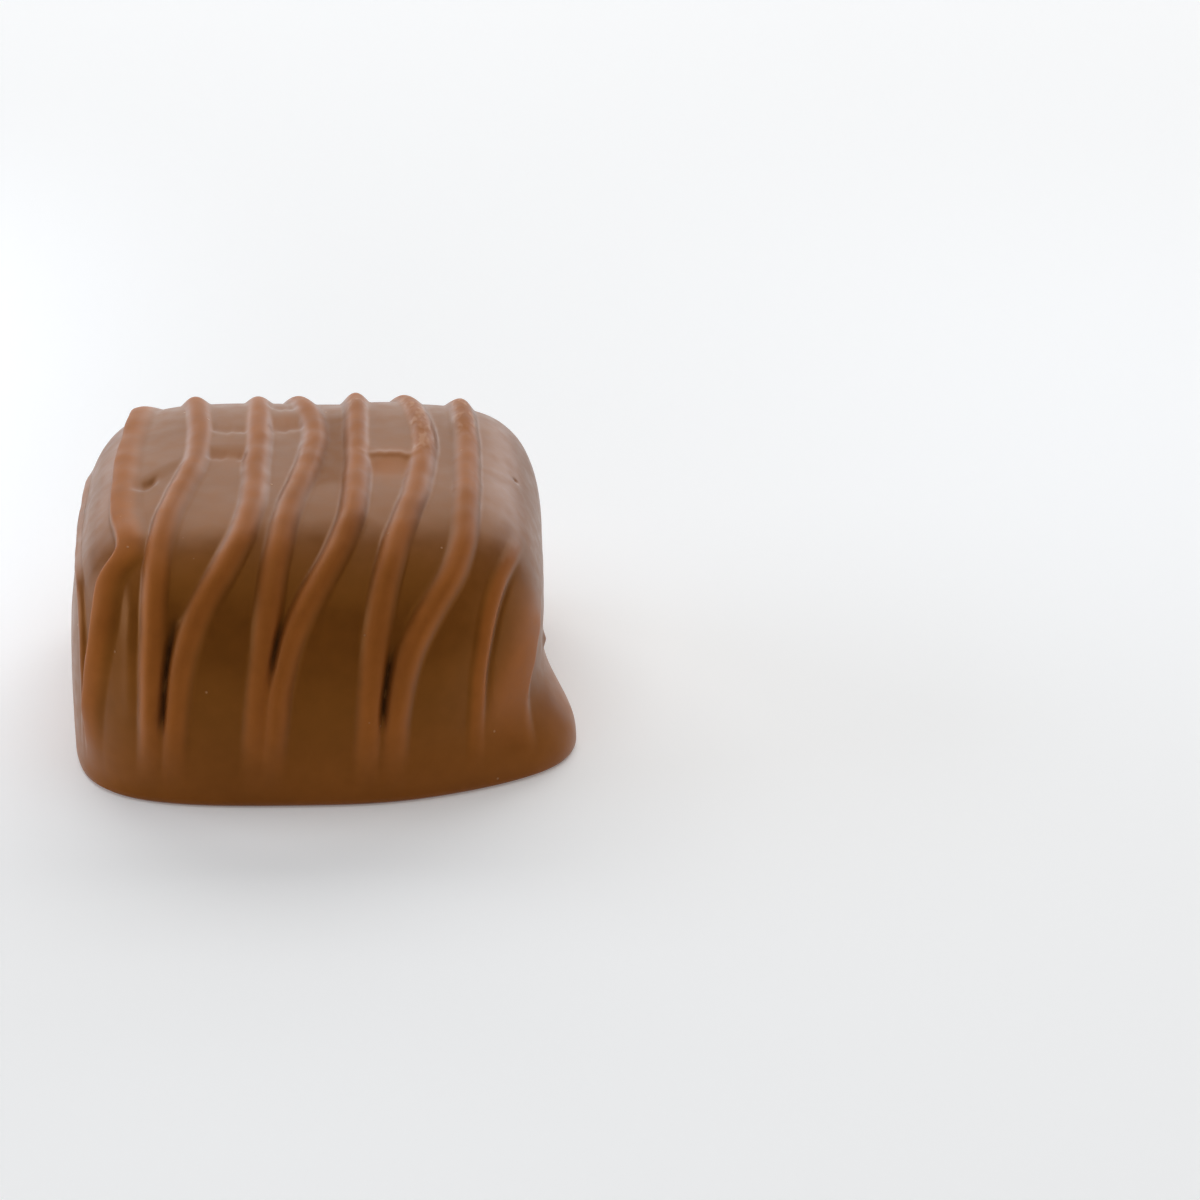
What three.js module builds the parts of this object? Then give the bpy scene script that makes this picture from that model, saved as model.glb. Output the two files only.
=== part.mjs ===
// A chocolate meltaway: one square piece of milk chocolate with soft shoulders, decorated with
// strings of the same chocolate that zigzag over it from front to back. It is one solid.
//
// Millimetres, +Z up, front towards -Y, origin at the middle of the flat base.
//
// Two angles name a place on the piece. tilt runs from -90 (front edge of the base) over 0 (top)
// to 90 (back edge of the base). swing runs from -90 (left end) over 0 (middle) to 90 (right end).
// reach is the same sideways place in millimetres: the way round the block from swing 0, along a
// line of equal tilt, negative to the left.
import * as THREE from 'three';

// ---- The block under the strings ----
const HALF_WIDTH = 13.85; // X, middle to side wall
const HALF_DEPTH = 14.0; // Y, middle to front or back wall
const HEIGHT = 14.65; // base to top
const LEAN = 0.05; // the top drifts to the right by this share of its height

// How square the block is: 2 is round, larger is squarer. Each value holds in one direction,
// degrees seen from above from +X towards +Y, and blends into its neighbours.
const CORNERS = [[-135, 3.8], [-45, 2.9], [45, 6.0], [135, 5.0]]; // seen from above
const SHOULDERS = [[-90, 3.3], [0, 4.3], [90, 5.0], [180, 6.0]]; // seen from the side

// The walls draw in towards the base, below this height and by this much at the base, mm.
const TUCKS = [[-90, 0.15], [0, 1.0], [90, 0.6], [180, 0.55]]; // directions as above
const TUCK_HEIGHT = 10;

// Chocolate that ran out over the base at the right, near the front corner.
const FOOT_LENGTH = 3.1;
const FOOT_HEIGHT = 3.2;
const FOOT_STEEPNESS = 2.6; // how suddenly it drops off at its height
const FOOT_DIRECTION = -25.3; // degrees, as above
const FOOT_NARROWNESS = 14;

// A thin rim that spreads on the base at the left front corner.
const RIM_LENGTH = 0.2;
const RIM_HEIGHT = 0.6;
const RIM_DIRECTION = -137;
const RIM_NARROWNESS = 50;

// ---- The strings, from left to right ----
// front, top and back: reach on each face, mm. turn and ease: the tilt where the string crosses
// from its front place to its top place, and how slowly, degrees. height: its crest over the
// block, mm. Only where a string needs them: widths, from its crest to its left and right foot,
// mm; bow and bowAt, how far it swells out sideways, mm, and at which tilt; end, the tilt where
// the string stops, and fade, the degrees over which it runs out.
const STRINGS = {
  leftEdge: {
    front: -14.3, top: -15.3, back: -15.0, turn: -30, ease: 12, height: 0.24,
    widths: [0.6, 0.5], end: 38,
  },
  a: {
    front: -13.65, top: -11.35, back: -9.8, turn: -35, ease: 4, height: 0.6,
    widths: [0.55, 1.6], bow: 1.3, bowAt: -41,
  },
  b: { front: -8.8, top: -6.6, back: -8.1, turn: -11, ease: 20, height: 0.52 },
  c: { front: -7.5, top: -3.35, back: -3.9, turn: -42, ease: 15, height: 0.5 },
  d: { front: -2.9, top: 0.4, back: -2.8, turn: -18, ease: 36, height: 0.5 },
  e: { front: -1.9, top: 2.45, back: 2.0, turn: -43, ease: 15, height: 0.65 },
  f: { front: 3.5, top: 6.4, back: 3.4, turn: -28, ease: 24, height: 0.55 },
  g: { front: 5.05, top: 8.8, back: 8.0, turn: -46, ease: 12, height: 0.55 },
  h: {
    front: 10.1, top: 12.9, back: 12.9, turn: -34, ease: 16, height: 0.24,
    widths: [0.8, 0.65], end: -12, fade: 34,
  },
  rightEdge: {
    front: 13.2, top: 15.4, back: 15.4, turn: -61, ease: 11, height: 0.4,
    widths: [4.0, 0.9], end: -22, fade: 34,
  },
};
const STRING_WIDTHS = [0.92, 0.98];
const STRING_ROUNDNESS = 1.5; // 1 is a parabola, more draws its feet out softly
const STRING_END_FADE = 9;
const BOW_SPAN = 16; // degrees of tilt that a bow takes on each side
const BACK_START = 10; // tilt where a string starts to drift to its back place
const BACK_END = 75;
const FADE_LOW = 0.8; // heights over the base between which a string fades in, mm
const FADE_HIGH = 6.2;
const UNION_SHARPNESS = 4; // how crisply strings that touch meet

// ---- Films: chocolate that filled the gap between two strings on the top ----
// lip: the tilt of its front edge at the left string. slant: how much further back that edge
// lies at the right string. height: its level over the block, mm. slope: degrees of tilt from its
// level down to the block, each side of its lip.
const FILMS = [
  { left: 'a', right: 'b', lip: -11, slant: 18, height: 0.12, slope: 4 },
  { left: 'b', right: 'c', lip: 9, slant: 0, height: 0.18, slope: 4 },
  { left: 'c', right: 'd', lip: 26, slant: 0, height: 0.16, slope: 4 },
  { left: 'e', right: 'f', lip: 2, slant: 0, height: 0.28, slope: 5.5 },
];
const FILM_END = 42; // the tilt where films run out, over the back shoulder
const FILM_FADE = 10;

// ---- The mesh ----
const ROW_STEP = 0.9; // between rows, measured over the middle, mm
const CREST_OFFSETS = [0.45, 0.9]; // columns beside each crest, mm
const GAP_SHARES = [0.2, 0.4]; // the same where strings run close together, as shares of the gap
const SIDE_COLUMNS = 5; // further columns on each side wall
const ROW_SAMPLES = 240; // samples of a row that turn reach into swing
const COLOUR = 0x7c4d2a;

const { clamp, degToRad, lerp, smoothstep } = THREE.MathUtils;

/** 1 where a plan angle (radians) points towards a compass angle (degrees), 0 at right angles. */
function facing(angle, towards, power) {
  return Math.max(0, Math.cos(angle - degToRad(towards))) ** power;
}

/** Blends four values that hold in directions at right angles to each other. */
function blend(values, angle) {
  return values.reduce((sum, [towards, value]) => sum + value * facing(angle, towards, 2), 0);
}

/** Point of the bare block at the given swing and tilt. */
function blockPoint(swing, tilt) {
  const dx = Math.sin(degToRad(swing));
  const dy = Math.cos(degToRad(swing)) * Math.sin(degToRad(tilt));
  const dz = Math.max(0, Math.cos(degToRad(swing)) * Math.cos(degToRad(tilt)));
  const plan = Math.atan2(dy, dx);
  const corner = blend(CORNERS, plan);
  const shoulder = blend(SHOULDERS, plan);
  const spread = (Math.abs(dx) ** corner + Math.abs(dy) ** corner) ** (1 / corner);
  const scale = (spread ** shoulder + dz ** shoulder) ** (-1 / shoulder);
  const rim = spread * scale; // 0 at the middle of the top, 1 on the base edge
  const z = HEIGHT * dz * scale;
  const tuck = blend(TUCKS, plan) * Math.max(0, 1 - z / TUCK_HEIGHT) ** 1.5 * rim ** 3;
  const foot = FOOT_LENGTH * facing(plan, FOOT_DIRECTION, FOOT_NARROWNESS)
    * Math.exp(-((z / FOOT_HEIGHT) ** FOOT_STEEPNESS)) * rim ** 4;
  const baseRim = RIM_LENGTH * facing(plan, RIM_DIRECTION, RIM_NARROWNESS)
    * Math.exp(-((z / RIM_HEIGHT) ** 2));
  const out = foot + baseRim - tuck;
  return new THREE.Vector3(
    HALF_WIDTH * dx * scale + out * Math.cos(plan) + LEAN * z,
    HALF_DEPTH * dy * scale + out * Math.sin(plan),
    z,
  );
}

/** Outward normal of the bare block. */
function blockNormal(swing, tilt) {
  const step = 0.05;
  const safeSwing = clamp(swing, -89.9, 89.9);
  const across = blockPoint(safeSwing + step, tilt).sub(blockPoint(safeSwing - step, tilt));
  const along = blockPoint(safeSwing, Math.min(90, tilt + step))
    .sub(blockPoint(safeSwing, Math.max(-90, tilt - step)));
  return across.cross(along).normalize();
}

/** The reach of a string's crest at a tilt. */
function crestReach({ front, top, back, turn, ease, bow = 0, bowAt = 0 }, tilt) {
  const crossed = (1 + Math.tanh((tilt - turn) / ease)) / 2;
  const drifted = smoothstep(tilt, BACK_START, BACK_END);
  const bowed = bow * Math.exp(-(((tilt - bowAt) / BOW_SPAN) ** 2));
  return lerp(front, top, crossed) + (back - top) * drifted + bowed;
}

/** The height of a string's crest over the block at a tilt. */
function crestHeight({ height, end = Infinity, fade = STRING_END_FADE }, tilt) {
  return height * (1 - smoothstep(tilt, end - fade, end));
}

/** Rounded section of a string: 1 at the crest, 0 at and beyond its feet. */
function bead({ widths = STRING_WIDTHS }, distance) {
  const share = distance / widths[distance < 0 ? 0 : 1];
  return Math.max(0, 1 - share ** 2) ** STRING_ROUNDNESS;
}

/** Height of one film over the block. */
function filmHeight(film, reach, tilt) {
  const from = crestReach(STRINGS[film.left], tilt);
  const to = crestReach(STRINGS[film.right], tilt);
  const share = (reach - from) / (to - from);
  if (share <= 0 || share >= 1) {
    return 0;
  }
  const lip = film.lip + film.slant * share;
  const inFront = smoothstep(tilt, lip - film.slope, lip + film.slope);
  return film.height * inFront * (1 - smoothstep(tilt, FILM_END - FILM_FADE, FILM_END));
}

/** How far the surface stands over the bare block at a place. */
function relief(reach, tilt, point) {
  const halfStep = 1;
  const pace = blockPoint(0, Math.min(90, tilt + halfStep))
    .distanceTo(blockPoint(0, Math.max(-90, tilt - halfStep)));
  let sum = 0;
  for (const string of Object.values(STRINGS)) {
    const shift = crestReach(string, tilt + halfStep) - crestReach(string, tilt - halfStep);
    const distance = (reach - crestReach(string, tilt)) / Math.hypot(1, shift / pace);
    sum += (crestHeight(string, tilt) * bead(string, distance)) ** UNION_SHARPNESS;
  }
  for (const film of FILMS) {
    sum += filmHeight(film, reach, tilt) ** UNION_SHARPNESS;
  }
  return sum ** (1 / UNION_SHARPNESS) * smoothstep(point.z, FADE_LOW, FADE_HIGH);
}

/** Tilts of the rows, evenly spaced over the middle of the block from front base to back base. */
function rowTilts() {
  const fine = 720;
  const lengths = [0];
  let last = blockPoint(0, -90);
  for (let k = 1; k <= fine; k += 1) {
    const next = blockPoint(0, -90 + (180 * k) / fine);
    lengths.push(lengths[k - 1] + next.distanceTo(last));
    last = next;
  }
  const rows = Math.round(lengths[fine] / ROW_STEP);
  const tilts = [];
  let k = 0;
  for (let row = 0; row <= rows; row += 1) {
    const target = (lengths[fine] * row) / rows;
    while (k < fine - 1 && lengths[k + 1] < target) {
      k += 1;
    }
    const share = (target - lengths[k]) / (lengths[k + 1] - lengths[k]);
    tilts.push(-90 + (180 * (k + clamp(share, 0, 1))) / fine);
  }
  return tilts;
}

/** Reach at evenly spaced swings of one row, 0 in the middle. */
function reachTable(tilt) {
  const table = [0];
  let last = blockPoint(-90, tilt);
  for (let k = 1; k <= ROW_SAMPLES; k += 1) {
    const next = blockPoint(-90 + (180 * k) / ROW_SAMPLES, tilt);
    table.push(table[k - 1] + next.distanceTo(last));
    last = next;
  }
  const middle = table[ROW_SAMPLES / 2];
  return table.map((length) => length - middle);
}

/** The swing at a reach, read from a row's table. */
function swingAt(reach, table) {
  const k = Math.max(1, table.findIndex((value) => value >= reach));
  const share = (reach - table[k - 1]) / (table[k] - table[k - 1]);
  return -90 + (180 * (k - 1 + share)) / ROW_SAMPLES;
}

/** Reaches of a row's columns: they follow the crests, with the side walls' columns at the ends. */
function columnReaches(tilt, table) {
  const crests = Object.values(STRINGS).map((string) => crestReach(string, tilt));
  const near = (gap) => CREST_OFFSETS.map((offset, k) => Math.min(offset, GAP_SHARES[k] * gap));
  const leftEnd = table[0];
  const rightEnd = table[ROW_SAMPLES];
  const reaches = [];
  const wall = (from, to, share) => from + (to - from) * share;
  const firstLeft = crests[0] - CREST_OFFSETS[1];
  for (let k = 1; k <= SIDE_COLUMNS; k += 1) {
    reaches.push(wall(leftEnd, firstLeft, k / (SIDE_COLUMNS + 1)));
  }
  reaches.push(firstLeft, crests[0] - CREST_OFFSETS[0]);
  crests.forEach((crest, k) => {
    reaches.push(crest);
    if (k + 1 < crests.length) {
      const gap = crests[k + 1] - crest;
      const [close, far] = near(gap);
      reaches.push(crest + close, crest + far, crest + gap / 2);
      reaches.push(crests[k + 1] - far, crests[k + 1] - close);
    }
  });
  const lastCrest = crests[crests.length - 1];
  const lastRight = lastCrest + CREST_OFFSETS[1];
  reaches.push(lastCrest + CREST_OFFSETS[0], lastRight);
  for (let k = 1; k <= SIDE_COLUMNS; k += 1) {
    reaches.push(wall(lastRight, rightEnd, k / (SIDE_COLUMNS + 1)));
  }
  return reaches;
}

/** Surface points of one row, left to right, without the two ends that all rows share. */
function rowPoints(tilt) {
  const table = reachTable(tilt);
  return columnReaches(tilt, table).map((reach) => {
    const swing = swingAt(reach, table);
    const point = blockPoint(swing, tilt);
    const height = relief(reach, tilt, point);
    return point.addScaledVector(blockNormal(swing, tilt), height);
  });
}

/** The whole piece: rows of points from front to back, an end point each side and a flat base. */
function meltawayGeometry() {
  const rows = rowTilts().map(rowPoints);
  const columns = rows[0].length;
  const points = rows.flat();
  const leftEnd = points.push(blockPoint(-90, 0)) - 1;
  const rightEnd = points.push(blockPoint(90, 0)) - 1;
  const baseMiddle = points.push(new THREE.Vector3(0, 0, 0)) - 1;
  const at = (row, column) => row * columns + column;
  const triangles = [];
  for (let row = 0; row + 1 < rows.length; row += 1) {
    triangles.push(leftEnd, at(row, 0), at(row + 1, 0));
    triangles.push(rightEnd, at(row + 1, columns - 1), at(row, columns - 1));
    for (let column = 0; column + 1 < columns; column += 1) {
      const corners = [at(row, column), at(row, column + 1), at(row + 1, column + 1), at(row + 1, column)];
      triangles.push(corners[0], corners[1], corners[2], corners[0], corners[2], corners[3]);
    }
  }
  const lastRow = rows.length - 1;
  const outline = [leftEnd];
  for (let column = 0; column < columns; column += 1) {
    outline.push(at(0, column));
  }
  outline.push(rightEnd);
  for (let column = columns - 1; column >= 0; column -= 1) {
    outline.push(at(lastRow, column));
  }
  outline.forEach((corner, k) => {
    points[corner].z = 0;
    triangles.push(baseMiddle, outline[(k + 1) % outline.length], corner);
  });
  const geometry = new THREE.BufferGeometry().setFromPoints(points);
  geometry.setIndex(triangles);
  geometry.computeVertexNormals();
  return geometry;
}

const chocolate = new THREE.Mesh(
  meltawayGeometry(),
  new THREE.MeshStandardMaterial({ color: COLOUR, roughness: 0.45, metalness: 0 }),
);
chocolate.name = 'chocolate';

const meltaway = new THREE.Group();
meltaway.add(chocolate);

export default meltaway;
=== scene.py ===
"""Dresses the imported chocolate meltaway: one dense mesh with its fine relief, in satin chocolate.

Sizes are in millimetres and angles in degrees, as in the part's own source, until a mesh, lamp or
camera is made. The piece is described by two angles: tilt runs from -90 (front edge of the base)
over 0 (top) to 90 (back edge), swing from -90 (left end) over 0 (middle) to 90 (right end). reach
is the sideways place in millimetres, the way round the block from swing 0 at equal tilt.
"""

import math

import bpy
import numpy as np
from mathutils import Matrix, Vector, noise


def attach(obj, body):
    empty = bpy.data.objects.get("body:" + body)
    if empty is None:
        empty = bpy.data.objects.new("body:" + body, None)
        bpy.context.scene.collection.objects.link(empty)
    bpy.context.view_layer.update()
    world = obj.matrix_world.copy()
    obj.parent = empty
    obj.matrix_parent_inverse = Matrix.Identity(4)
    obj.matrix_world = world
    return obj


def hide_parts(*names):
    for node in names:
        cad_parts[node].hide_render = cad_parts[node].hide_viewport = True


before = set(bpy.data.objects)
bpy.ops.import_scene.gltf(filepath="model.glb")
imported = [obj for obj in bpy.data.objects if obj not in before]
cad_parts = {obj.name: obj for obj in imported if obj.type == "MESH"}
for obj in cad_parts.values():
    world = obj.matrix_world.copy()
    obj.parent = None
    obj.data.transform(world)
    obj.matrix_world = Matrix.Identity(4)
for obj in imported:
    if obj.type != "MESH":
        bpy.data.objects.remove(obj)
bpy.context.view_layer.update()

MM = 0.001

# ---- The block under the strings ----
HALF_WIDTH = 13.85
HALF_DEPTH = 14.0
HEIGHT = 14.65
LEAN = 0.05
# How square it is, seen from above and from the side: 2 is round, larger is squarer. Each value
# holds in one direction, degrees seen from above from +X towards +Y, and blends into the next.
CORNERS = ((-135, 3.8), (-45, 2.9), (45, 6.0), (135, 5.0))
SHOULDERS = ((-90, 3.3), (0, 4.3), (90, 5.0), (180, 6.0))
# How far the walls draw in at the base, in the same directions, and the height where that starts.
TUCKS = ((-90, 0.15), (0, 1.0), (90, 0.6), (180, 0.55))
TUCK_HEIGHT = 10.0
# Chocolate that ran out over the base at the right, near the front corner.
FOOT_LENGTH = 3.1
FOOT_HEIGHT = 3.2
FOOT_STEEPNESS = 2.6
FOOT_DIRECTION = -25.3
FOOT_NARROWNESS = 14
# A thin rim that spreads on the base at the left front corner.
BASE_RIM_LENGTH = 0.2
BASE_RIM_HEIGHT = 0.6
BASE_RIM_DIRECTION = -137
BASE_RIM_NARROWNESS = 50

# ---- The strings, from left to right ----
# front, top and back: reach on each face, mm. turn and ease: the tilt where the string crosses
# from its front place to its top place, and how slowly, degrees. height: its crest over the
# block, mm. Only where a string needs them: widths, from its crest to its left and right foot,
# mm; bow and bow_at, how far it swells out sideways, mm, and at which tilt; end, the tilt where
# the string stops, and fade, the degrees over which it runs out; shown, the share of the strings'
# colour that it takes on.
STRINGS = {
    "left_edge": {
        "front": -14.3, "top": -15.3, "back": -15.0, "turn": -30, "ease": 12, "height": 0.24,
        "widths": (0.6, 0.5), "end": 38, "shown": 0.4,
    },
    "a": {
        "front": -13.65, "top": -11.35, "back": -9.8, "turn": -35, "ease": 4, "height": 0.6,
        "widths": (0.55, 1.6), "bow": 1.3, "bow_at": -41,
    },
    "b": {"front": -8.8, "top": -6.6, "back": -8.1, "turn": -11, "ease": 20, "height": 0.52},
    "c": {"front": -7.5, "top": -3.35, "back": -3.9, "turn": -42, "ease": 15, "height": 0.5},
    "d": {"front": -2.9, "top": 0.4, "back": -2.8, "turn": -18, "ease": 36, "height": 0.5},
    "e": {"front": -1.9, "top": 2.45, "back": 2.0, "turn": -43, "ease": 15, "height": 0.65},
    "f": {"front": 3.5, "top": 6.4, "back": 3.4, "turn": -28, "ease": 24, "height": 0.55},
    "g": {"front": 5.05, "top": 8.8, "back": 8.0, "turn": -46, "ease": 12, "height": 0.55},
    "h": {
        "front": 10.1, "top": 12.9, "back": 12.9, "turn": -34, "ease": 16, "height": 0.24,
        "widths": (0.8, 0.65), "end": -12, "fade": 34,
    },
    "right_edge": {
        "front": 13.2, "top": 15.4, "back": 15.4, "turn": -61, "ease": 11, "height": 0.4,
        "widths": (4.0, 0.9), "end": -22, "fade": 34,
    },
}
STRING_WIDTHS = (0.92, 0.98)
STRING_ROUNDNESS = 1.5  # 1 is a parabola, more draws its feet out softly
STRING_END_FADE = 9
BOW_SPAN = 16  # degrees of tilt that a bow takes on each side
BACK_START = 10  # tilt where a string starts to drift to its back place
BACK_END = 75
FADE_LOW = 0.8  # heights over the base between which a string fades in
FADE_HIGH = 6.2
UNION_SHARPNESS = 4  # how crisply strings that touch meet

# ---- Films: chocolate that filled the gap between two strings on the top ----
# lip: the tilt of its front edge at the left string. slant: how much further back that edge lies
# at the right string. slope: degrees of tilt from its level down to the block, each side of its
# lip. brown: the share of the strings' colour painted on its lip, painted shade of the lip's
# slope that faces the front.
FILM_TERMS = ("left", "right", "lip", "slant", "height", "slope", "brown")
FILMS = (
    ("a", "b", -11, 18, 0.12, 4, 0.0),
    ("b", "c", 9, 0, 0.18, 4, 0.5),
    ("c", "d", 26, 0, 0.16, 4, 0.5),
    ("e", "f", 2, 0, 0.28, 5.5, 1.0),
)
FILMS = [dict(zip(FILM_TERMS, values)) for values in FILMS]
FILM_END = 42  # the tilt where films run out, over the back shoulder
FILM_FADE = 10

# ---- Fine relief that the CAD model leaves out, mm and degrees of tilt ----
# A wrinkle runs across a film: a groove with a short steep rise in front of it. at: the foot of
# that rise. sag: how far its middle hangs to the front. slant: how much further back its right
# end lies.
WRINKLE_TERMS = ("left", "right", "at", "sag", "slant", "depth", "first", "last")
WRINKLES = (
    ("a", "b", -11, 0.5, 9, 0.15, 0.12, 0.62),
    ("b", "c", 5.2, 0.5, 0.8, 0.09, 0.08, 0.92),
    ("b", "c", 18.3, -0.5, -0.8, 0.07, 0.12, 0.86),
    ("c", "d", 22.5, 3.0, 0, 0.10, 0.08, 0.92),
    ("c", "d", 33, 2.4, 0, 0.09, 0.1, 0.9),
)
WRINKLES = [dict(zip(WRINKLE_TERMS, values)) for values in WRINKLES]
GROOVE_DISTANCE = 1.6
GROOVE_FRONT = 1.1
GROOVE_BACK = 2.8
WRINKLE_WANDER = 1.0
# The film between e and f has a raised rim along its front lip, and dips behind it.
FILM_RIM_TILT = 6.0
FILM_RIM_SPAN = 1.3
FILM_RIM_RISE = 0.07
# Narrow clefts where two strings close up on the front, cut into the surface and darkened with painted
# shade: strings, first and last tilt.
CLEFTS = (("b", "c", -74, -46), ("d", "e", -62, -46), ("f", "g", -73, -52))
CLEFT_DEPTH = 0.2
CLEFT_WIDTH = 0.2
CLEFT_FADE = 7
# A groove along the right foot of string h, at this distance from its crest.
SIDE_GROOVE = {
    "string": "h", "distance": 0.62, "depth": 0.08, "width": 0.22, "first": -72, "last": -28,
}
# Painted shade: the side groove takes on this share of the clefts' painted dark colour.
GROOVE_SHADE_SHARE = 0.3  # share of a cleft's dark colour
# A faint fold on the front, between strings a and b.
FOLD = {"reach": -10.15, "height": 0.1, "width": 0.45, "first": -72, "last": -36}
GROOVE_FADE = 12  # degrees over which the groove and the fold run out
# Crumbly stretches on the crests: string, first and last tilt.
ROUGH_STRETCHES = (("f", 4, 38), ("g", 15, 44), ("e", 26, 40))
ROUGH_HEIGHT = 0.05
ROUGH_GRAIN = 0.65
ROUGH_SQUEEZE = (1, 0.5, 1)  # draws the crumbs out along the strings
ROUGH_FADE = 6
# Gaps whose chocolate is duller than the rest: strings, first and last tilt.
MATT_GAPS = (("d", "e", -14, 34),)
MATT_FADE = 10
# Small bumps: tilt, reach, height, radius.
BUMPS = ((-36, 19.6, 0.22, 0.45), (12, 12.2, -0.1, 0.18))
STRING_UNEVENNESS = 0.13  # share of a string's height
STRING_WOBBLE = 0.06  # sideways
# Waves that add up to an uneven line: radians per degree of tilt, shift between strings, share.
WAVES = ((0.13, 2.1, 1.0), (0.31, 4.3, 0.6), (0.67, 1.3, 0.4))
SWELL_HEIGHT = 0.06  # slow rise and fall of the whole surface
SWELL_LENGTH = 4.5
RIPPLE_HEIGHT = 0.014
RIPPLE_LENGTH = 1.3
LOW_STRING_SHARE = 0.4  # how much of the strings' colour the band over the base takes on
# Painted light: the strings on the front take on more of their lighter colour than on the top, standing
# in for the light they catch.
PAINTED_LIGHT_TILTS = (-34, -12)  # where the front's string colour gives way to the top's

# ---- The mesh: steps between neighbouring points, mm ----
TOP_STEP = 0.15  # rows, over the top
TOP_TILTS = (-18, 40)
WALL_STEP = 0.26  # rows, elsewhere
STRING_STEP = 0.11  # columns, where the strings lie
STRING_ZONE = (-16.5, 17.0)  # reach
SIDE_COLUMNS = 38
BASE_EDGE_RADIUS = 0.3
TABLE_SAMPLES = 240  # along a row, an even number
ROW_SAMPLES = 1440  # from the front edge of the base to the back edge
SHARP_ANGLE = 60

# ---- The view: the photo's frame is this many pixels wide, and its middle is beside the piece ----
FRAME_PX = 1200
PX_PER_MM = 17.2
CAMERA_ELEVATION = 27.2
CAMERA_DISTANCE = 320.0
SENSOR_WIDTH = 36.0  # mm, the camera's own
PIECE_PLACE = (-17.23, 1.61)  # of the piece in the photo's frame, mm right of and behind its middle
PIECE_YAW = 1.5
AIM_HEIGHT = 7.0


def smoothstep(value, low, high):
    share = np.clip((value - low) / (high - low), 0.0, 1.0)
    return share * share * (3.0 - 2.0 * share)


def facing(angle, towards, power):
    return np.maximum(0.0, np.cos(angle - math.radians(towards))) ** power


def blend(values, angle):
    """Blends four values that hold in directions at right angles to each other."""
    return sum(value * facing(angle, towards, 2) for towards, value in values)


def block_points(swing, tilt):
    """Points of the bare block, mm."""
    swing, tilt = np.broadcast_arrays(np.radians(swing), np.radians(tilt))
    dx = np.sin(swing)
    dy = np.cos(swing) * np.sin(tilt)
    dz = np.maximum(0.0, np.cos(swing) * np.cos(tilt))
    plan = np.arctan2(dy, dx)
    corner = blend(CORNERS, plan)
    shoulder = blend(SHOULDERS, plan)
    spread = (np.abs(dx) ** corner + np.abs(dy) ** corner) ** (1 / corner)
    scale = (spread**shoulder + dz**shoulder) ** (-1 / shoulder)
    rim = spread * scale
    z = HEIGHT * dz * scale
    tuck = blend(TUCKS, plan) * np.maximum(0.0, 1 - z / TUCK_HEIGHT) ** 1.5 * rim**3
    foot = FOOT_LENGTH * facing(plan, FOOT_DIRECTION, FOOT_NARROWNESS)
    foot = foot * np.exp(-((z / FOOT_HEIGHT) ** FOOT_STEEPNESS)) * rim**4
    base_rim = BASE_RIM_LENGTH * facing(plan, BASE_RIM_DIRECTION, BASE_RIM_NARROWNESS)
    base_rim = base_rim * np.exp(-((z / BASE_RIM_HEIGHT) ** 2))
    out = foot + base_rim - tuck
    x = HALF_WIDTH * dx * scale + out * np.cos(plan) + LEAN * z
    y = HALF_DEPTH * dy * scale + out * np.sin(plan)
    return np.stack([x, y, z], axis=-1)


def block_normals(swing, tilt):
    step = 0.05
    swing = np.clip(swing, -89.9, 89.9)
    across = block_points(swing + step, tilt) - block_points(swing - step, tilt)
    ahead = block_points(swing, np.minimum(90, tilt + step))
    behind = block_points(swing, np.maximum(-90, tilt - step))
    normals = np.cross(across, ahead - behind)
    return normals / np.linalg.norm(normals, axis=-1, keepdims=True)


def crest_reach(string, tilt):
    crossed = (1 + np.tanh((tilt - string["turn"]) / string["ease"])) / 2
    drifted = smoothstep(tilt, BACK_START, BACK_END)
    bow = string.get("bow", 0) * np.exp(-(((tilt - string.get("bow_at", 0)) / BOW_SPAN) ** 2))
    place = string["front"] + (string["top"] - string["front"]) * crossed
    return place + (string["back"] - string["top"]) * drifted + bow


def uneven(tilt, phase):
    """A slow irregular wave along a string, about -1 to 1."""
    waves = (share * np.sin(pace * tilt + shift * phase) for pace, shift, share in WAVES)
    return sum(waves) / sum(share for _, _, share in WAVES)


def string_section(string, phase, reach, tilt):
    """The string's rounded section, 1 on its crest and 0 at its feet, and its crest's height."""
    half_step = 1.0
    ahead = block_points(0.0, np.minimum(90, tilt + half_step))
    behind = block_points(0.0, np.maximum(-90, tilt - half_step))
    pace = np.linalg.norm(ahead - behind, axis=-1)
    shift = crest_reach(string, tilt + half_step) - crest_reach(string, tilt - half_step)
    wobble = STRING_WOBBLE * uneven(0.8 * tilt, phase + 20)
    distance = (reach - crest_reach(string, tilt) - wobble) / np.hypot(1, shift / pace)
    height = string["height"] * (1 + STRING_UNEVENNESS * uneven(tilt, phase))
    if "end" in string:
        fade = string.get("fade", STRING_END_FADE)
        height = height * (1 - smoothstep(tilt, string["end"] - fade, string["end"]))
    left, right = string.get("widths", STRING_WIDTHS)
    share = np.where(distance < 0, distance / left, distance / right)
    return np.maximum(0.0, 1 - share**2) ** STRING_ROUNDNESS, height


def film_share(film, reach, tilt):
    """How far a place lies from the left string of a film, 0, to its right string, 1."""
    start = crest_reach(STRINGS[film["left"]], tilt)
    end = crest_reach(STRINGS[film["right"]], tilt)
    return np.clip((reach - start) / (end - start), 0, 1)


def film_height(film, reach, tilt):
    share = film_share(film, reach, tilt)
    lip = film["lip"] + film["slant"] * share
    level = smoothstep(tilt, lip - film["slope"], lip + film["slope"])
    level = level * (1 - smoothstep(tilt, FILM_END - FILM_FADE, FILM_END))
    return np.where((share > 0) & (share < 1), film["height"] * level, 0.0)


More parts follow.
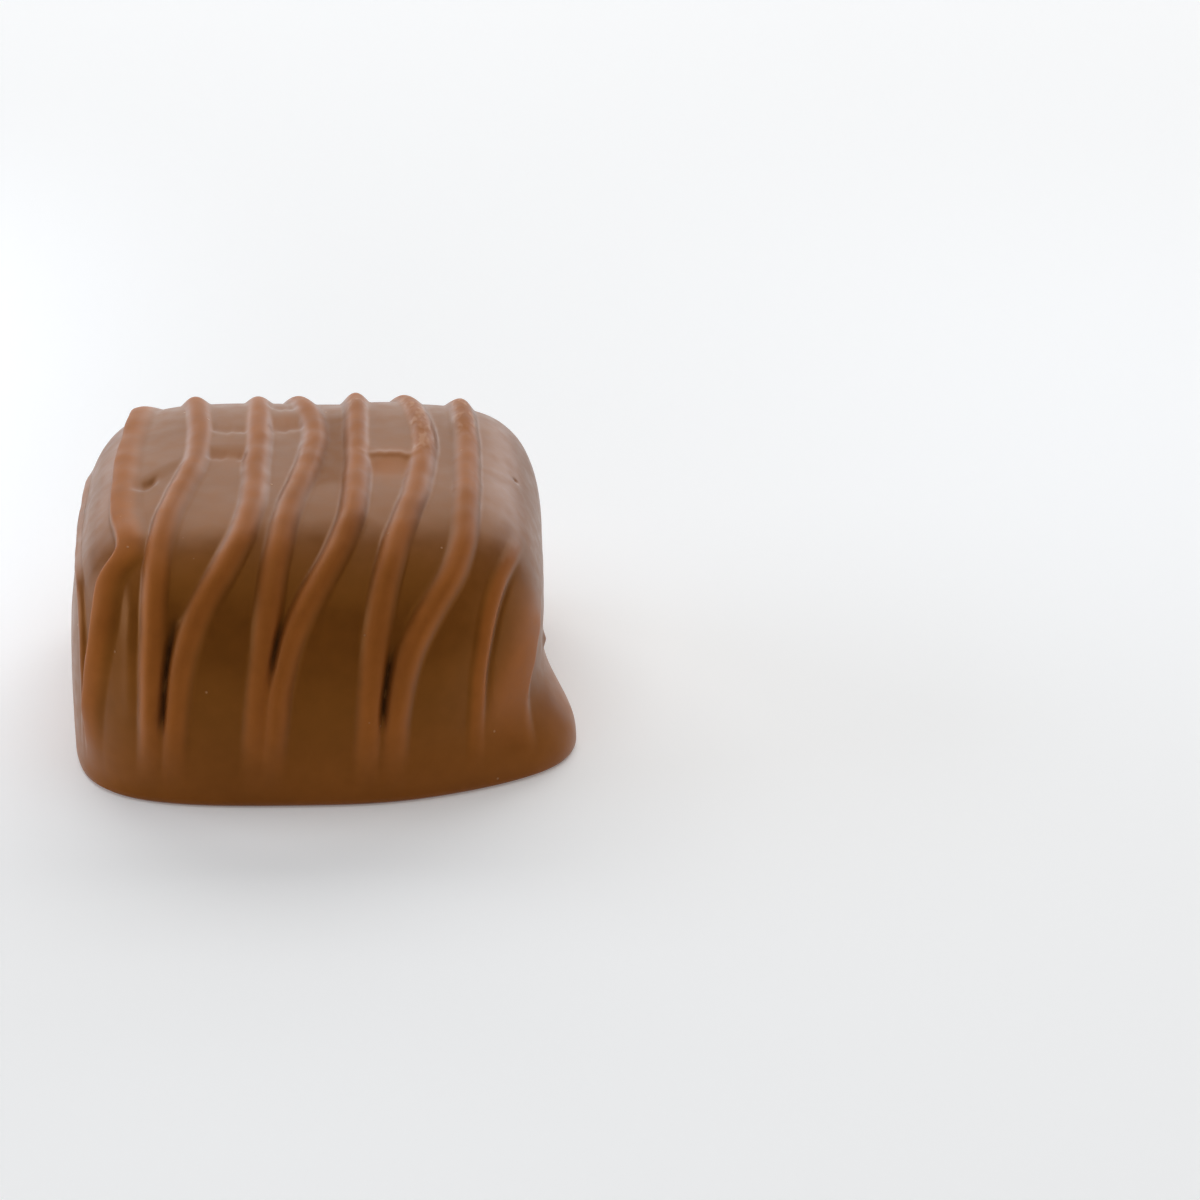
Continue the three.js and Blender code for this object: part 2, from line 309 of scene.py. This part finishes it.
def wrinkle_height(wrinkle, reach, tilt):
    share = film_share(wrinkle, reach, tilt)
    middle = 4 * share * (1 - share)
    line = wrinkle["at"] - wrinkle["sag"] * middle + wrinkle["slant"] * share
    behind = tilt - line - WRINKLE_WANDER * uneven(60 * share, wrinkle["at"]) - GROOVE_DISTANCE
    groove = np.exp(-((behind / np.where(behind < 0, GROOVE_FRONT, GROOVE_BACK)) ** 2))
    depth = wrinkle["depth"] * (1 + 0.5 * uneven(70 * share, wrinkle["at"] + 3))
    return -depth * groove * between(share, wrinkle["first"], wrinkle["last"], 0.15)


def film_rim_height(reach, tilt):
    """The raised rim round the front of the film between e and f."""
    share = film_share({"left": "e", "right": "f"}, reach, tilt)
    inside = 4 * share * (1 - share)
    behind = tilt - FILM_RIM_TILT - 0.8 * uneven(60 * share, 5)
    return FILM_RIM_RISE * np.exp(-((behind / FILM_RIM_SPAN) ** 2)) * np.sqrt(inside)


def between(tilt, first, last, fade):
    return smoothstep(tilt, first, first + fade) * (1 - smoothstep(tilt, last - fade, last))


def cleft(reach, tilt):
    """1 at the bottom of the clefts between closing strings, 0 away from them."""
    total = np.zeros_like(reach)
    for left, right, first, last in CLEFTS:
        start, end = crest_reach(STRINGS[left], tilt), crest_reach(STRINGS[right], tilt)
        aside = (reach - (start + end) / 2) / CLEFT_WIDTH
        total += np.exp(-(aside**2)) * between(tilt, first, last, CLEFT_FADE)
    return total


def side_groove(reach, tilt):
    string = STRINGS[SIDE_GROOVE["string"]]
    aside = (reach - crest_reach(string, tilt) - SIDE_GROOVE["distance"]) / SIDE_GROOVE["width"]
    stretch = between(tilt, SIDE_GROOVE["first"], SIDE_GROOVE["last"], GROOVE_FADE)
    return np.exp(-(aside**2)) * stretch


def fold(reach, tilt):
    aside = (reach - FOLD["reach"]) / FOLD["width"]
    stretch = between(tilt, FOLD["first"], FOLD["last"], GROOVE_FADE)
    return FOLD["height"] * np.exp(-(aside**2)) * stretch


def noise_field(points, length, seed):
    """Smooth noise at the points, about -1 to 1, with features of the given length."""
    offset = Vector((7.3 * seed, 3.1 * seed, 5.7 * seed))
    flat = (points.reshape(-1, 3) / length).tolist()
    values = [noise.noise(Vector(place) + offset) for place in flat]
    return np.array(values).reshape(points.shape[:-1])


def relief(reach, tilt, bare):
    """Height of the surface over the bare block, mm, and the shares of the colours and textures."""
    total = np.zeros_like(reach)
    string_share = np.zeros_like(reach)
    matt_share = np.zeros_like(reach)
    crumb = np.zeros_like(reach)
    grain = noise_field(bare * ROUGH_SQUEEZE, ROUGH_GRAIN, 1)
    for phase, (name, string) in enumerate(STRINGS.items()):
        bead, height = string_section(string, phase, reach, tilt)
        for rough_name, first, last in ROUGH_STRETCHES:
            if rough_name == name:
                stretch = between(tilt, first, last, ROUGH_FADE)
                height = height + ROUGH_HEIGHT * stretch * np.minimum(grain, 0.25)
                crumb = np.maximum(crumb, stretch * smoothstep(bead, 0.2, 0.7))
        total += (np.maximum(height, 0) * bead) ** UNION_SHARPNESS
        shown = bead * np.clip(height / string["height"], 0, 1) * string.get("shown", 1)
        string_share = np.maximum(string_share, smoothstep(shown, 0.05, 0.75))
        matt_share = np.maximum(matt_share, smoothstep(shown, 0.45, 0.95))
    for film in FILMS:
        film_now = film_height(film, reach, tilt)
        total += film_now**UNION_SHARPNESS
        aside = film_share(film, reach, tilt)
        # Painted shade: the lip's slope towards the front takes on the strings' colour.
        lip_shade_patch = film["brown"] * np.exp(-(((tilt - film["lip"] + 1) / film["slope"]) ** 2))
        string_share = np.maximum(string_share, lip_shade_patch * 4 * aside * (1 - aside))
    for left, right, first, last in MATT_GAPS:
        aside = film_share({"left": left, "right": right}, reach, tilt)
        dull = between(tilt, first, last, MATT_FADE) * between(aside, 0, 1, 0.3)
        matt_share = np.maximum(matt_share, dull)
    height = total ** (1 / UNION_SHARPNESS)
    for wrinkle in WRINKLES:
        height += wrinkle_height(wrinkle, reach, tilt) * (1 - string_share)
    height += film_rim_height(reach, tilt) + fold(reach, tilt)
    clefts = cleft(reach, tilt)
    groove = side_groove(reach, tilt)
    height -= CLEFT_DEPTH * clefts + SIDE_GROOVE["depth"] * groove
    for at, aside, rise, radius in BUMPS:
        near = block_points_at(aside, at)
        away = np.linalg.norm(bare - near, axis=-1) / radius
        height += rise * np.exp(-(away**2))
    fade = smoothstep(bare[..., 2], FADE_LOW, FADE_HIGH)
    swell = SWELL_HEIGHT * noise_field(bare, SWELL_LENGTH, 2)
    ripple = RIPPLE_HEIGHT * noise_field(bare, RIPPLE_LENGTH, 3)
    clear_of_base = smoothstep(bare[..., 2], 0, FADE_LOW)
    shares = {
        "string_share": LOW_STRING_SHARE + (string_share - LOW_STRING_SHARE) * fade,
        "matt_share": matt_share * fade,
        "crumb": crumb,
        # painted shade in the clefts and the side groove
        "cleft": np.clip(clefts + GROOVE_SHADE_SHARE * groove, 0, 1) * fade,
        # painted light: where the front strings' lighter colour gives way to the top's
        "top_share": smoothstep(tilt, *PAINTED_LIGHT_TILTS) * np.ones_like(reach),
    }
    return height * fade + (swell + ripple) * clear_of_base, shares


def row_tilts():
    """Tilts of the rows: closer over the top, where the films and wrinkles are."""
    fine = np.linspace(-90, 90, ROW_SAMPLES + 1)
    points = block_points(0.0, fine)
    step = np.where((fine > TOP_TILTS[0]) & (fine < TOP_TILTS[1]), TOP_STEP, WALL_STEP)
    count = np.linalg.norm(np.diff(points, axis=0), axis=1) / step[1:]
    way = np.concatenate([[0], np.cumsum(count)])
    return np.interp(np.linspace(0, way[-1], round(way[-1]) + 1), way, fine)


def grid_places(tilts):
    """Swing and reach of every grid point: close columns over the strings, wide ones at the sides."""
    swings = np.linspace(-90, 90, TABLE_SAMPLES + 1)
    points = block_points(swings[None, :], tilts[:, None])
    steps = np.linalg.norm(np.diff(points, axis=1), axis=2)
    way = np.concatenate([np.zeros((len(tilts), 1)), np.cumsum(steps, axis=1)], axis=1)
    way -= way[:, TABLE_SAMPLES // 2, None]
    left, right = STRING_ZONE
    middle = np.arange(left, right, STRING_STEP)
    middle = np.broadcast_to(middle, (len(tilts), len(middle)))
    shares = np.arange(1, SIDE_COLUMNS + 1) / (SIDE_COLUMNS + 1)
    left_side = way[:, :1] + (left - way[:, :1]) * shares
    right_side = way[:, -1:] + (right - way[:, -1:]) * shares[::-1]
    reach = np.concatenate([left_side, middle, right_side], axis=1)
    swing = np.array([np.interp(r, w, swings) for r, w in zip(reach, way)])
    return swing, reach


def rounded_base_edge(points):
    """Draws the points just over the base inwards, so that the wall meets the base in a small round."""
    low = np.clip(1 - points[..., 2] / BASE_EDGE_RADIUS, 0, 1)
    inset = BASE_EDGE_RADIUS * (1 - np.sqrt(1 - low**2))
    plan = np.linalg.norm(points[..., :2], axis=-1)
    points[..., :2] *= (1 - inset / plan)[..., None]
    return points


def block_points_at(reach, tilt):
    """The point of the bare block at one reach and tilt."""
    swings = np.linspace(-90, 90, TABLE_SAMPLES + 1)
    points = block_points(swings, tilt)
    way = np.concatenate([[0], np.cumsum(np.linalg.norm(np.diff(points, axis=0), axis=1))])
    way -= way[TABLE_SAMPLES // 2]
    return block_points(np.interp(reach, way, swings), tilt)


def surface_points(swing, reach, tilt):
    bare = block_points(swing, tilt)
    height, shares = relief(reach, tilt, bare)
    return bare + block_normals(swing, tilt) * height[..., None], shares


def grid_faces(rows, columns):
    """Quads of a grid, triangles to the two end points, and a fan that closes the base."""
    index = np.arange(rows * columns).reshape(rows, columns)
    left_end, right_end, base_middle = rows * columns + np.arange(3)
    quads = np.stack([index[:-1, :-1], index[:-1, 1:], index[1:, 1:], index[1:, :-1]], axis=-1)
    faces = quads.reshape(-1, 4).tolist()
    faces += [(left_end, a, b) for a, b in zip(index[:-1, 0], index[1:, 0])]
    faces += [(right_end, b, a) for a, b in zip(index[:-1, -1], index[1:, -1])]
    outline = [left_end, *index[0], right_end, *index[-1][::-1]]
    faces += [(base_middle, b, a) for a, b in zip(outline, outline[1:] + outline[:1])]
    return [tuple(map(int, face)) for face in faces]


def make_meltaway():
    tilts = row_tilts()
    swing, reach = grid_places(tilts)
    tilt = np.broadcast_to(tilts[:, None], swing.shape)
    points, shares = surface_points(swing, reach, tilt)
    points[0, :, 2] = 0
    points[-1, :, 2] = 0
    ends = block_points(np.array([-90.0, 90.0]), np.zeros(2))
    points = np.concatenate([points.reshape(-1, 3), ends])
    points = np.concatenate([rounded_base_edge(points), np.zeros((1, 3))])
    mesh = bpy.data.meshes.new("meltaway")
    mesh.from_pydata((points * MM).tolist(), [], grid_faces(*swing.shape))
    for name, share in shares.items():
        attribute = mesh.attributes.new(name, "FLOAT", "POINT")
        attribute.data.foreach_set("value", np.concatenate([share.ravel(), np.zeros(3)]))
    mesh.validate()
    mesh.shade_smooth()
    mesh.set_sharp_from_angle(angle=math.radians(SHARP_ANGLE))
    piece = bpy.data.objects.new("meltaway", mesh)
    bpy.context.scene.collection.objects.link(piece)
    return piece


# ---- Material ----
BLOCK_COLOUR = (0.208, 0.068, 0.011)
STRING_COLOUR = (0.345, 0.105, 0.020)
# Painted light: the strings on the top show less of their lighter colour than on the front.
TOP_STRING_SHARE_PAINTED_LIGHT = 0.75  # how much of the strings' colour shows on the top
# Painted shade: the dark colour in the clefts and the side groove.
CLEFT_SHADE_COLOUR = (0.040, 0.018, 0.008)
BLOCK_ROUGHNESS = 0.34
MATT_ROUGHNESS = 0.52
SPECULAR_TINT = (1.0, 0.40, 0.07, 1)
SPECK_COLOUR = (0.42, 0.20, 0.09)
CRUMB_COLOUR = (0.46, 0.24, 0.13)
# How much of the painted cleft shade shows.
CLEFT_SHADE_STRENGTH = 0.85
CRUMB_SQUEEZE = (1, 0.45, 1)  # draws the crumbs out along the strings
# Lengths of the noise patterns and heights of the bumps that they make, mm.
BROAD_LENGTH = 6.0
MOTTLE_LENGTH = 0.9
CRUMB_LENGTH = 0.45
GRAIN_LENGTH = 0.12
SPECK_DISTANCE = 2.2
MOTTLE_BUMP = 0.006
GRAIN_BUMP = 0.0016
SPECK_BUMP = 0.02
CRUMB_BUMP = 0.06


def chocolate_material():
    material = bpy.data.materials.new("milk_chocolate")
    material.use_nodes = True
    nodes, links = material.node_tree.nodes, material.node_tree.links
    shader = nodes["Principled BSDF"]
    shader.inputs["Specular Tint"].default_value = SPECULAR_TINT
    shader.inputs["IOR"].default_value = 1.5

    def node(kind, **settings):
        made = nodes.new(kind)
        for name, value in settings.items():
            if name in made.inputs:
                made.inputs[name].default_value = value
            else:
                setattr(made, name, value)
        return made

    coordinates = node("ShaderNodeTexCoord")

    def attribute(name):
        return node("ShaderNodeAttribute", attribute_name=name).outputs["Fac"]

    def clouds(length, detail, squeeze=(1, 1, 1)):
        texture = node("ShaderNodeTexNoise", Scale=1 / (length * MM), Detail=detail)
        mapping = node("ShaderNodeMapping", Scale=squeeze)
        links.new(coordinates.outputs["Object"], mapping.inputs["Vector"])
        links.new(mapping.outputs["Vector"], texture.inputs["Vector"])
        return texture.outputs["Fac"]

    def ranged(value, low, high, from_low=0.0, from_high=1.0):
        made = node("ShaderNodeMapRange")
        limits = {"To Min": low, "To Max": high, "From Min": from_low, "From Max": from_high}
        for name, number in limits.items():
            made.inputs[name].default_value = number
        links.new(value, made.inputs["Value"])
        return made.outputs["Result"]

    def combined(operation, first, second):
        made = node("ShaderNodeMath", operation=operation)
        for socket, value in zip(made.inputs, (first, second)):
            if isinstance(value, (int, float)):
                socket.default_value = value
            else:
                links.new(value, socket)
        return made.outputs["Value"]

    def mixed(share, first, second):
        made = node("ShaderNodeMix", data_type="RGBA")
        sockets = (made.inputs[0], made.inputs[6], made.inputs[7])
        for socket, value in zip(sockets, (share, first, second)):
            if isinstance(value, tuple):
                socket.default_value = (*value, 1)
            else:
                links.new(value, socket)
        return made.outputs[2]

    broad = clouds(BROAD_LENGTH, 2.0)
    mottle = clouds(MOTTLE_LENGTH, 2.0)
    crumbs = clouds(CRUMB_LENGTH, 1.0, CRUMB_SQUEEZE)
    grain = clouds(GRAIN_LENGTH, 2.0)

    specks = node("ShaderNodeTexVoronoi", Scale=1 / (SPECK_DISTANCE * MM))
    links.new(coordinates.outputs["Object"], specks.inputs["Vector"])
    speck = ranged(specks.outputs["Distance"], 1.0, 0.0, 0.02, 0.045)

    uneven_tone = ranged(mottle, -0.05, 0.05, 0.3, 0.7)
    tone = combined("ADD", ranged(broad, 0.92, 1.08, 0.3, 0.7), uneven_tone)
    # Painted light: strings on the front show more of their lighter colour than on the top, standing in
    # for the light they catch.
    front_painted_light = ranged(attribute("top_share"), 1.0, TOP_STRING_SHARE_PAINTED_LIGHT)
    share = combined("MULTIPLY", attribute("string_share"), front_painted_light)
    colour = mixed(share, BLOCK_COLOUR, STRING_COLOUR)
    toned = node("ShaderNodeVectorMath", operation="SCALE")
    links.new(colour, toned.inputs[0])
    links.new(tone, toned.inputs["Scale"])
    colour = mixed(speck, toned.outputs["Vector"], SPECK_COLOUR)
    pale_crumb = combined("MULTIPLY", attribute("crumb"), ranged(crumbs, 0.0, 0.5, 0.5, 0.66))
    colour = mixed(pale_crumb, colour, CRUMB_COLOUR)
    # Painted shade: the clefts and the side groove are darkened.
    painted_cleft_shade = combined("MULTIPLY", attribute("cleft"), CLEFT_SHADE_STRENGTH)
    colour = mixed(painted_cleft_shade, colour, CLEFT_SHADE_COLOUR)
    links.new(colour, shader.inputs["Base Color"])

    roughness = ranged(attribute("matt_share"), BLOCK_ROUGHNESS, MATT_ROUGHNESS)
    roughness = combined("ADD", roughness, ranged(mottle, -0.05, 0.05, 0.3, 0.7))
    links.new(roughness, shader.inputs["Roughness"])

    height = combined("MULTIPLY", mottle, MOTTLE_BUMP)
    height = combined("ADD", height, combined("MULTIPLY", grain, GRAIN_BUMP))
    height = combined("ADD", height, combined("MULTIPLY", speck, SPECK_BUMP))
    crumb_height = combined("MULTIPLY", crumbs, attribute("crumb"))
    height = combined("ADD", height, combined("MULTIPLY", crumb_height, CRUMB_BUMP))
    bump = node("ShaderNodeBump", Strength=1.0, Distance=MM)
    links.new(height, bump.inputs["Height"])
    links.new(bump.outputs["Normal"], shader.inputs["Normal"])
    return material


# ---- Stage, lights and camera ----
COOL = (0.86, 0.96, 1.12)
# Name, azimuth, elevation, distance, size, radiance and, where it isn't white, colour. Azimuth 0 is
# behind the camera, 90 at the right, 180 behind the piece. Metres.
LAMPS = (
    ("overhead", 0, 84, 0.9, (1.2, 1.0), 0.95),
    ("back", 180, 10, 0.8, (1.2, 0.5), 1.5),
    ("back_mid", 180, 29, 0.8, (1.2, 0.25), 0.7),
    ("back_high", 180, 44, 0.8, (1.2, 0.3), 2.4),
    ("left", 262, 14, 0.8, (0.7, 0.4), 2.8, COOL),
    ("right", 95, 14, 0.8, (0.7, 0.4), 0.9),
    ("back_left", 208, 5, 0.8, (0.3, 0.25), 0.8, COOL),
    ("back_right", 145, 14, 0.8, (0.5, 0.4), 0.85, COOL),
)
# Lamps that light the floor beside the piece: name, x, y, height, size, radiance, spread. Metres.
CARDS = (
    ("card_left", -0.055, 0.030, 0.10, (0.05, 0.08), 0.5, 40),
    ("card_right", 0.055, 0.030, 0.10, (0.05, 0.08), 0.06, 40),
)
FLOOR_HALF = 2.0
FLOOR_COLOUR = (0.90, 0.90, 0.895, 1)
FLOOR_GLOW = 0.18  # the floor is a lit table
WORLD_STRENGTH = 0.03


def make_floor():
    mesh = bpy.data.meshes.new("floor")
    sides = ((-1, -1), (1, -1), (1, 1), (-1, 1))
    corners = [(x * FLOOR_HALF, y * FLOOR_HALF, 0) for x, y in sides]
    mesh.from_pydata(corners, [], [(0, 1, 2, 3)])
    floor = bpy.data.objects.new("floor", mesh)
    bpy.context.scene.collection.objects.link(floor)
    material = bpy.data.materials.new("floor")
    material.use_nodes = True
    shader = material.node_tree.nodes["Principled BSDF"]
    shader.inputs["Base Color"].default_value = FLOOR_COLOUR
    shader.inputs["Roughness"].default_value = 0.9
    shader.inputs["Emission Color"].default_value = (1, 1, 1, 1)
    shader.inputs["Emission Strength"].default_value = FLOOR_GLOW
    shader.inputs["Specular IOR Level"].default_value = 0.0
    mesh.materials.append(material)


def aim(obj, place, target):
    obj.location = place
    obj.rotation_mode = "QUATERNION"
    obj.rotation_quaternion = (Vector(target) - Vector(place)).to_track_quat("-Z", "Y")


def make_area_light(name, size, radiance, colour):
    lamp = bpy.data.lights.new(name, "AREA")
    lamp.shape = "RECTANGLE"
    lamp.size, lamp.size_y = size
    lamp.energy = radiance * math.pi * size[0] * size[1]
    lamp.color = colour
    obj = bpy.data.objects.new(name, lamp)
    bpy.context.scene.collection.objects.link(obj)
    obj.visible_camera = False
    return obj


def make_lamp(name, azimuth, elevation, distance, size, radiance, colour=(1, 1, 1)):
    """A softbox that faces the piece."""
    obj = make_area_light(name, size, radiance, colour)
    a, e = math.radians(azimuth), math.radians(elevation)
    place = Vector((math.sin(a) * math.cos(e), -math.cos(a) * math.cos(e), math.sin(e))) * distance
    aim(obj, place, (0, 0, AIM_HEIGHT * MM))


def make_card(name, x, y, height, size, radiance, spread):
    """A lamp that faces straight down beside the piece, in a narrow beam."""
    obj = make_area_light(name, size, radiance, COOL)
    obj.data.spread = math.radians(spread)
    aim(obj, (x, y, height), (x, y, 0))


def make_world():
    world = bpy.data.worlds.new("studio")
    world.use_nodes = True
    background = world.node_tree.nodes["Background"]
    background.inputs["Color"].default_value = (1, 1, 1, 1)
    background.inputs["Strength"].default_value = WORLD_STRENGTH
    bpy.context.scene.world = world


def make_camera():
    data = bpy.data.cameras.new("camera")
    data.sensor_width = SENSOR_WIDTH
    data.lens = PX_PER_MM * CAMERA_DISTANCE * SENSOR_WIDTH / FRAME_PX
    data.clip_start = 0.01
    camera = bpy.data.objects.new("camera", data)
    bpy.context.scene.collection.objects.link(camera)
    yaw, elevation = math.radians(PIECE_YAW), math.radians(CAMERA_ELEVATION)

    def from_photo_frame(x, y, z):
        x, y = x - PIECE_PLACE[0], y - PIECE_PLACE[1]
        return Vector((
            math.cos(yaw) * x + math.sin(yaw) * y,
            -math.sin(yaw) * x + math.cos(yaw) * y,
            z,
        )) * MM

    target = from_photo_frame(0, 0, AIM_HEIGHT)
    back, up = CAMERA_DISTANCE * math.cos(elevation), CAMERA_DISTANCE * math.sin(elevation)
    aim(camera, from_photo_frame(0, -back, AIM_HEIGHT + up), target)
    bpy.context.scene.camera = camera


piece = make_meltaway()
piece.data.materials.append(chocolate_material())
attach(piece, "root")
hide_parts("chocolate")

make_floor()
make_world()
for lamp in LAMPS:
    make_lamp(*lamp)
for card in CARDS:
    make_card(*card)
make_camera()
bpy.context.scene.view_settings.view_transform = "Standard"
